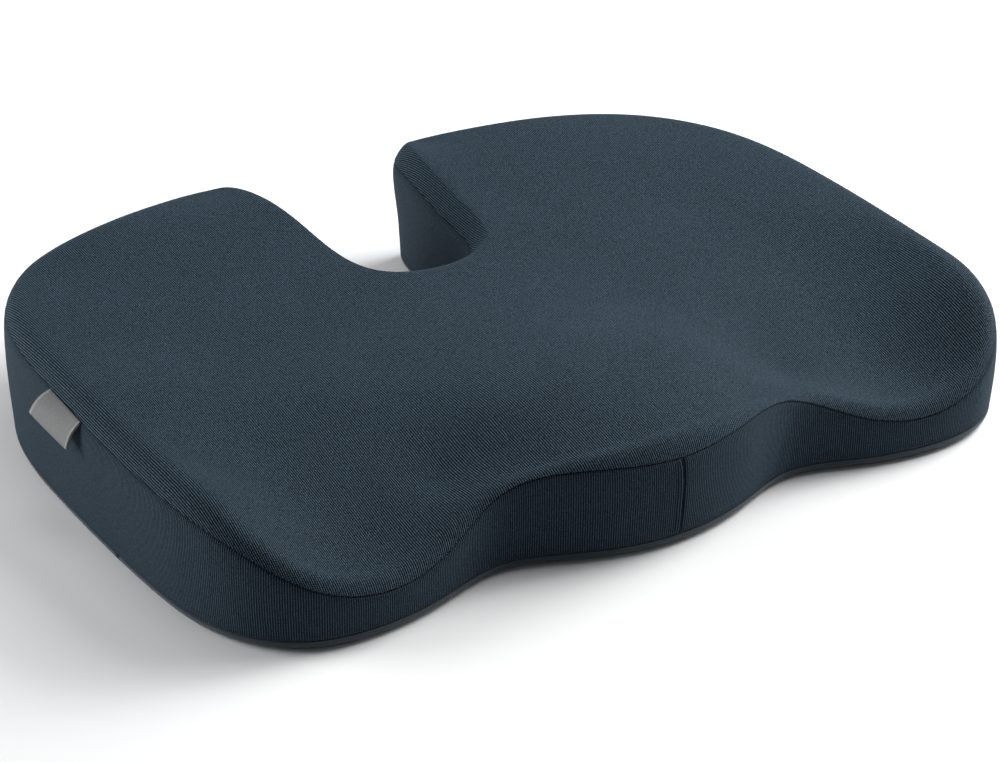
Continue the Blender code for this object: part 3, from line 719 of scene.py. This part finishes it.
def press_out(made, pinned):
    """Let the foam push a cover panel out for a few frames, with its seams held."""
    mesh = made.data
    before = np.empty(3 * len(mesh.vertices), np.float32)
    mesh.vertices.foreach_get("co", before)
    before = before.reshape(-1, 3)
    held = made.vertex_groups.new(name="seams")
    held.add([int(i) for i in np.flatnonzero(pinned)], 1.0, "REPLACE")
    cloth = made.modifiers.new("press", "CLOTH")
    settings = cloth.settings
    settings.quality = 6
    settings.mass = 0.2
    settings.tension_stiffness = 40
    settings.compression_stiffness = 40
    settings.shear_stiffness = 15
    settings.bending_stiffness = 0.8
    settings.vertex_group_mass = held.name
    settings.use_pressure = True
    settings.uniform_pressure_force = PRESSURE
    settings.effector_weights.gravity = 0
    cloth.collision_settings.use_collision = False
    cloth.collision_settings.use_self_collision = False
    cloth.point_cache.frame_start = 1
    cloth.point_cache.frame_end = PRESS_FRAMES
    scene = bpy.context.scene
    for number in range(1, PRESS_FRAMES + 1):
        scene.frame_set(number)
    shown = made.evaluated_get(bpy.context.evaluated_depsgraph_get()).data
    after = np.empty(3 * len(mesh.vertices), np.float32)
    shown.vertices.foreach_get("co", after)
    move = after.reshape(-1, 3) - before
    length = np.linalg.norm(move, axis=1)[:, None]
    move *= np.minimum(1, PRESS_LIMIT / np.maximum(length, 1e-9))
    made.modifiers.remove(cloth)
    mesh.vertices.foreach_set("co", (before + move).ravel())
    mesh.update()
    scene.frame_set(1)


def make_band(outline, look):
    rows, depth = wall_rows(outline)
    verts = np.vstack(rows)
    faces = bands(len(rows), outline.count, closed=False)
    band = piece("side_band_cover", verts, faces, "cushion", look)
    along = np.tile(outline.along, len(rows))
    knit_coordinates(band, np.column_stack([along, verts[:, 2], depth]))
    near_end = np.minimum(along, outline.length - along) < JOIN_HELD
    press_out(band, (depth <= 0) | near_end)
    thicken(band, FABRIC)
    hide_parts("side_band")


def base_rows(outline):
    """Rings of the base fabric, from the base seam's crease round its lower edge to the underside."""
    lip = CREASE_LIP
    lean = base_lean(outline)
    rows = []
    for inset, share in CREASES[::-1]:
        rows.append(outline.ring(lean + inset * MM, BASE_SEAM_HEIGHT - share * lip))
    tall = BASE_SEAM_HEIGHT - lip - BASE_LIFT
    steps = 6
    for step in range(steps + 1):
        angle = 0.5 * math.pi * step / steps
        inset = lean + BASE_INSET * (1 - math.cos(angle))
        rows.append(outline.ring(inset, BASE_LIFT + tall * (1 - math.sin(angle))))
    return rows


def make_base(name, node, side, outline, look):
    """One half of the underside, from the zip's slot out to the base seam."""
    cut = ZIP_Y + side * BASE_GAP
    own = side * (outline.xy[:, 1] - cut) > 0
    order = np.arange(outline.count)
    if side < 0:
        order = np.roll(order, outline.count // 2)
    own = [i for i in order if own[i]]
    rows = [row[own] for row in base_rows(outline)]
    for row in rows:
        row[0, 1] = cut
        row[-1, 1] = cut
    count = len(own)
    faces = bands(len(rows), count, closed=False)
    floor = rows[-1][:, :2]
    ends = np.linspace(SLOT_HALF_LENGTH + 3 * MM, CUT_HALF_LENGTH, 7)
    x = np.concatenate([-ends[::-1], np.linspace(-SLOT_HALF_LENGTH, SLOT_HALF_LENGTH, 75), ends])
    away = np.where(np.abs(x) <= SLOT_HALF_LENGTH, SLOT_HALF_WIDTH, BASE_GAP)
    slot = np.column_stack([x, ZIP_Y + side * away])
    if floor[-1, 0] > floor[0, 0]:
        slot = slot[::-1]
    polygon = np.vstack([floor, slot])
    # The mesh is finer over the zip's trough.
    close = grid(0.5 * BASE_GRID, half_x=0.2, half_y=0.09)
    close = close[np.abs(close[:, 1] - ZIP_Y) < 30 * MM]
    wide = grid(BASE_GRID)
    wide = wide[np.abs(wide[:, 1] - ZIP_Y) > 34 * MM]
    inner = np.vstack([wide, close])
    inner = inner[inside(polygon, inner, 2 * MM)]
    flat = np.vstack([slot, inner])
    verts = np.vstack([*rows, np.column_stack([flat, trough(flat)])])
    shift = count * (len(rows) - 1)
    faces += [[i + shift for i in reversed(face)] for face in fill(polygon, inner)]
    base = piece(name, verts, faces, "cushion", look)
    thicken(base, FABRIC)
    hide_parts(node)


def make_dots(outline, look):
    """Anti-slip dots printed on the underside, in staggered rows."""
    spots = grid(DOT_PITCH)
    spots = spots[inside(outline.xy, spots, DOT_MARGIN)]
    spots = spots[np.abs(spots[:, 1] - ZIP_Y) > TROUGH_HALF_WIDTH + TROUGH_SLOPE + 2 * MM]
    sides = 12
    rings = ((1.7, 0.47), (1.62, 0.30), (1.3, 0.12), (0.7, 0.01))  # radius and height in mm
    single = [(radius * x, radius * y, z) for radius, z in rings for x, y in circle(sides)]
    single = np.array([*single, (0, 0, 0)]) * MM
    last = sides * (len(rings) - 1)
    faces = bands(len(rings), sides)
    faces += [(last + i, last + sides, last + (i + 1) % sides) for i in range(sides)]
    faces.append(tuple(range(sides)))
    many = np.vstack([single + (x, y, 0) for x, y in spots])
    copies = [[i + len(single) * k for i in face] for k in range(len(spots)) for face in faces]
    piece("anti_slip_dots", many, copies, "cushion", look)


def make_foam(outline, height, look):
    """The moulded core, inside the cover."""
    rows = []
    setback = 1.6 * MM  # from the outline, at the top seam
    wall_setback = 2.6 * MM
    underside = 1.6 * MM
    corner = 5 * MM  # height of its rounded lower edge
    rise = height(outline.rim) - outline.seam
    for step in range(6, -1, -1):
        share = 1 - math.cos(0.5 * math.pi * step / 6)
        inset = setback + (outline.edge - setback) * share
        lift = (rise - 0.4 * MM) * (1 - (1 - share) ** 1.5)
        rows.append(outline.ring(inset, outline.seam - 1.5 * MM + lift))
    lean = base_lean(outline)
    for share in (0.25, 0.5, 0.75):
        inset = wall_setback + lean * smooth(share / 0.5)
        rows.append(outline.ring(inset, outline.seam * (1 - share) + 7 * MM * share))
    for step in range(5):
        angle = 0.5 * math.pi * step / 4
        inset = lean + wall_setback + 4.4 * MM * (1 - math.cos(angle))
        rows.append(outline.ring(inset, underside + corner * (1 - math.sin(angle))))
    top = grid(8 * MM)
    top = top[inside(outline.rim, top, 4 * MM)]
    floor = rows[-1][:, :2]
    low = grid(6 * MM)
    low = low[inside(floor, low, 3 * MM)]
    # A pocket clears the zip's tapes and coils.
    pocket = (np.abs(low[:, 1] - ZIP_Y) < 15 * MM) & (np.abs(low[:, 0]) < 178 * MM)
    under = np.where(pocket, 7.2 * MM, trough(low) + 1.5 * MM)
    faces = bands(len(rows), outline.count)
    ring_points = outline.count * len(rows)
    shift = ring_points - outline.count
    faces += [[i if i < outline.count else i + shift for i in face] for face in fill(outline.rim, top)]
    start = ring_points + len(top) - outline.count
    for face in fill(floor, low):
        faces.append([i + shift if i < outline.count else i + start for i in reversed(face)])
    cap = np.column_stack([top, height(top) - 1.9 * MM])
    verts = np.vstack([*rows, cap, np.column_stack([low, under])])
    foam = piece("foam_block", verts, faces, "cushion", look)
    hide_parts("foam_core")


# ---------------------------------------------------------------- stitches

def capsule(radius, length):
    """A short piece of thread along +X, thinner at its ends: its points and faces."""
    half = 0.5 * length
    rings = ((-half, 0.25), (-half * 0.8, 0.85), (0, 1.0), (half * 0.8, 0.85), (half, 0.25))
    wire = radius * circle(THREAD_SIDES)
    verts = [(x, wide * y, wide * z) for x, wide in rings for y, z in wire]
    return np.array(verts), tube(len(rings), THREAD_SIDES)


def stitch_row(name, path, outward, pitch, length, radius, look, hidden=None):
    """Stitches laid one after another along a path, each one a capsule, with none at a hidden place."""
    step = np.linalg.norm(np.diff(path, axis=0), axis=1)
    run = np.concatenate([[0], np.cumsum(step)])
    count = int(run[-1] / pitch)
    places = (np.arange(count) + 0.5) * run[-1] / count
    single, shape = capsule(radius, length)
    verts = []
    faces = []

    def at(distance):
        return np.array([np.interp(distance, run, path[:, k]) for k in range(3)])

    if hidden is not None:
        places = [distance for distance in places if not hidden(at(distance))]
    for k, distance in enumerate(places):
        ahead = at(distance + 0.5 * length) - at(distance - 0.5 * length)
        ahead /= np.linalg.norm(ahead)
        out = np.array([np.interp(distance, run, outward[:, i]) for i in range(3)])
        side = np.cross(out, ahead)
        side /= np.linalg.norm(side)
        out = np.cross(ahead, side)
        turn = np.column_stack([ahead, side, out])
        verts.append(single @ turn.T + at(distance))
        faces += [[i + k * len(single) for i in face] for face in shape]
    piece(name, np.vstack(verts), faces, "cushion", look)


def under_label(point):
    """True where the sewn edge of the label covers the seam."""
    return np.linalg.norm(point - np.array(JOINTS["label_hinge"]["pos_m"])) < 0.5 * LABEL_WIDTH + 1.5 * MM


def make_seam_threads(outline, look):
    out = np.column_stack([outline.normal, np.zeros(outline.count)])
    seams = (
        ("top_seam_thread", outline.seam, 0),
        ("base_seam_thread", BASE_SEAM_HEIGHT, base_lean(outline)),
    )
    for name, level, lean in seams:
        path = outline.ring(lean + 0.75 * MM, level)
        stitch_row(name, path, out, 3.0 * MM, 2.5 * MM, 0.26 * MM, look, hidden=under_label)


# ---------------------------------------------------------------- zip

def make_zip(tape_look, coil_look, metal, thread_look):
    for side, place in ((-1, "front"), (1, "rear")):
        tape_low, tape_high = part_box(f"zip_tape_{place}")
        coil_low, coil_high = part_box(f"zip_coil_{place}")
        make_tape(place, tape_low, tape_high, tape_look)
        make_coil(place, side, coil_low, coil_high, coil_look)
        beside = ZIP_Y + side * (SLOT_HALF_WIDTH + 2.2 * MM)
        level = TROUGH_DEPTH - 0.15 * MM
        ends = 0.95 * SLOT_HALF_LENGTH
        row = np.linspace((-ends, beside, level), (ends, beside, level), 200)
        down = np.tile((0.0, 0.0, -1.0), (len(row), 1))
        stitch_row(f"zip_stitches_{place}", row, down, 3.2 * MM, 2.6 * MM, 0.2 * MM, thread_look)
    for node in ("zip_start_stop", "zip_end_stop", "zip_slider", "zip_pull_tab"):
        made = frame["nodes"][node]
        made.data.materials.clear()
        made.data.materials.append(metal)


def make_tape(place, low, high, look):
    """Woven tape, slightly waved, in the CAD tape's space."""
    columns = 173
    rows = 8
    x = np.linspace(low.x, high.x, columns)
    verts = []
    for k in range(rows):
        share = k / (rows - 1)
        y = low.y + (high.y - low.y) * share
        lift = 0.05 * MM * np.sin(x / (7 * MM) + share * 2) * math.sin(math.pi * share)
        verts.append(np.column_stack([x, np.full(columns, y), high.z - 0.05 * MM + lift]))
    faces = bands(rows, columns, closed=False)
    tape = piece(f"zip_tape_cloth_{place}", np.vstack(verts), faces, "cushion", look)
    thicken(tape, high.z - low.z - 0.12 * MM, offset=1)
    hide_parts(f"zip_tape_{place}")


def make_coil(place, side, low, high, look):
    """A nylon coil: a long flattened helix, whose turns reach between those of the other coil."""
    pitch = 1.5 * MM
    wire = 0.30 * MM
    turns = int((high.x - low.x) / pitch)
    steps = 10
    total = turns * steps
    reach = 0.5 * (high.y - low.y) + 0.45 * MM
    middle = 0.5 * (high.y + low.y) - side * 0.25 * MM
    level = 0.5 * (high.z + low.z)
    tall = 0.5 * (high.z - low.z) - wire
    start = low.x + (0.5 * pitch if side > 0 else 0.0)
    angle = 2 * math.pi * np.arange(total) / steps
    path = np.column_stack([
        start + pitch * np.arange(total) / steps,
        middle + (reach - wire) * np.cos(angle),
        level + tall * np.sin(angle),
    ])
    keep = (path[:, 0] > low.x + wire) & (path[:, 0] < high.x - wire)
    path = path[keep]
    ahead = np.gradient(path, axis=0)
    ahead /= np.linalg.norm(ahead, axis=1)[:, None]
    first = np.cross(ahead, (1.0, 0.0, 0.0))
    first /= np.linalg.norm(first, axis=1)[:, None]
    second = np.cross(ahead, first)
    rings = [path + wire * (y * first + z * second) for y, z in circle(THREAD_SIDES)]
    verts = np.stack(rings, axis=1).reshape(-1, 3)
    faces = tube(len(path), THREAD_SIDES)
    coil = piece(f"zip_teeth_{place}", verts, faces, "cushion", look)
    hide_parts(f"zip_coil_{place}")


# ---------------------------------------------------------------- label

def label_profile(front):
    """Side view of the folded tape, out and up from the hinge line. It hangs steeper at its front."""
    first = math.radians(20 + 22 * front)
    last = math.radians(62 + 14 * front)
    steps = 10
    middle = [np.array(LABEL_START)]
    angles = [first]
    for k in range(steps):
        angle = first + (last - first) * smooth((k + 0.5) / steps)
        middle.append(middle[-1] + LABEL_DROP / steps * np.array((math.cos(angle), -math.sin(angle))))
        angles.append(angle)
    side = np.array([(math.sin(a), math.cos(a)) for a in angles]) * LABEL_PLY_GAP
    middle = np.array(middle)
    tip = middle[-1] + 1.2 * LABEL_PLY_GAP * np.array((math.cos(last), -math.sin(last)))
    outer = middle + side
    inner = middle - side
    return np.vstack([outer[0] - (LABEL_TUCK, 0), outer, tip, inner[::-1], inner[0] - (LABEL_TUCK, 0)])


def make_label(look):
    """A woven tape folded double, both ends in the seam: it leaves the seam outwards and hangs."""
    hinge = JOINTS["label_hinge"]
    root = np.array(hinge["pos_m"])
    along = np.array(hinge["axis"]) / np.linalg.norm(hinge["axis"])
    outward = np.cross(along, (0, 0, -1))
    outward /= np.linalg.norm(outward)
    up = np.cross(outward, along)
    up *= math.copysign(1, up[2])
    columns = 29
    verts = []
    knit = []
    for k in range(columns):
        share = k / (columns - 1) - 0.5
        profile = label_profile(0.5 - share)
        run = np.concatenate([[0], np.cumsum(np.linalg.norm(np.diff(profile, axis=0), axis=1))])
        for (out, rise), length in zip(profile, run):
            verts.append(root + along * (LABEL_WIDTH * share) + outward * out + up * rise)
            knit.append((LABEL_WIDTH * share, length, length))
    faces = bands(columns, len(profile), closed=False, flipped=True)
    label = piece("folded_label", verts, faces, "label", look, smooth_angle=100)
    knit_coordinates(label, knit)
    thicken(label, 0.25 * MM, offset=0)
    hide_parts("side_label")


# ---------------------------------------------------------------- stage, light and camera

def make_stage():
    floor_mesh = bpy.data.meshes.new("floor")
    reach = 6.0
    level = min(CAD_BOX[0][2], 0.0) - 0.2 * MM
    corners = [(x * reach, y * reach, level) for x, y in ((-1, -1), (1, -1), (1, 1), (-1, 1))]
    floor_mesh.from_pydata(corners, [], [(0, 1, 2, 3)])
    floor = bpy.data.objects.new("floor", floor_mesh)
    floor_mesh.materials.append(studio_floor())
    bpy.context.scene.collection.objects.link(floor)


def direction(azimuth, elevation):
    """Towards a camera or lamp: azimuth 0 is in front, and 90 on the right, in degrees."""
    a = math.radians(azimuth)
    e = math.radians(elevation)
    return Vector((math.sin(a) * math.cos(e), -math.cos(a) * math.cos(e), math.sin(e)))


def aim(made, target):
    made.rotation_euler = (Vector(target) - made.location).to_track_quat("-Z", "Y").to_euler()


def softbox(name, at, target, size, power):
    lamp = bpy.data.lights.new(name, "AREA")
    lamp.shape = "SQUARE"
    lamp.size = size
    lamp.energy = power
    made = bpy.data.objects.new(name, lamp)
    bpy.context.scene.collection.objects.link(made)
    made.location = at
    aim(made, target)


def make_lights():
    """Two softboxes on the right, one low behind the left, and two weak ones to fill."""
    world = bpy.data.worlds.new("studio")
    bpy.context.scene.world = world
    world.use_nodes = True
    background = world.node_tree.nodes["Background"]
    background.inputs["Color"].default_value = (0.95, 0.97, 1.0, 1)
    background.inputs["Strength"].default_value = 0.13
    # azimuth and elevation in degrees, size in metres, watts
    boxes = (
        ("key_right", 90, 30, 1.0, 36),
        ("key_high", 78, 50, 1.0, 17),
        ("fill_front_right", 68, 14, 0.8, 4),
        ("fill_left", 238, 18, 1.0, 31),
        ("overhead", 0, 90, 0.8, 4),
    )
    for name, azimuth, elevation, size, power in boxes:
        softbox(name, LAMP_DISTANCE * direction(azimuth, elevation), (0, 0, 0.03), size, power)
    bpy.context.scene.view_settings.view_transform = "Standard"


def make_camera():
    """At the photograph's angle."""
    target = Vector((-0.0115, -0.0359, 0.030))
    lens = bpy.data.cameras.new("camera")
    lens.sensor_width = 36
    lens.lens = 109.75
    camera = bpy.data.objects.new("camera", lens)
    bpy.context.scene.collection.objects.link(camera)
    camera.location = target + 1.4974 * direction(-32.67, 27.05)
    aim(camera, target)
    bpy.context.scene.camera = camera


def main():
    make_camera()
    make_stage()
    make_lights()
    height = seat_height()
    outline = Outline(SAMPLE, CURVE_DENSITY)
    dark_thread = thread("seam_thread", (0.006, 0.010, 0.014), (0.026, 0.038, 0.050))
    make_top(outline, height, rib_knit("knit_top", *NAVY_TOP_WITH_RIB_SHADING))
    make_band(outline, rib_knit("knit_side", *NAVY_SIDE_WITH_RIB_SHADING))
    jersey = grip_fabric()
    make_base("base_cloth_front", "base_panel_front", -1, outline, jersey)
    make_base("base_cloth_rear", "base_panel_rear", 1, outline, jersey)
    make_dots(outline, silicone())
    make_foam(Outline(7 * MM, 7 * MM), height, open_foam())
    make_seam_threads(outline, dark_thread)
    make_zip(tape_weave(), nylon(), gunmetal(), dark_thread)
    make_label(woven_label())


main()
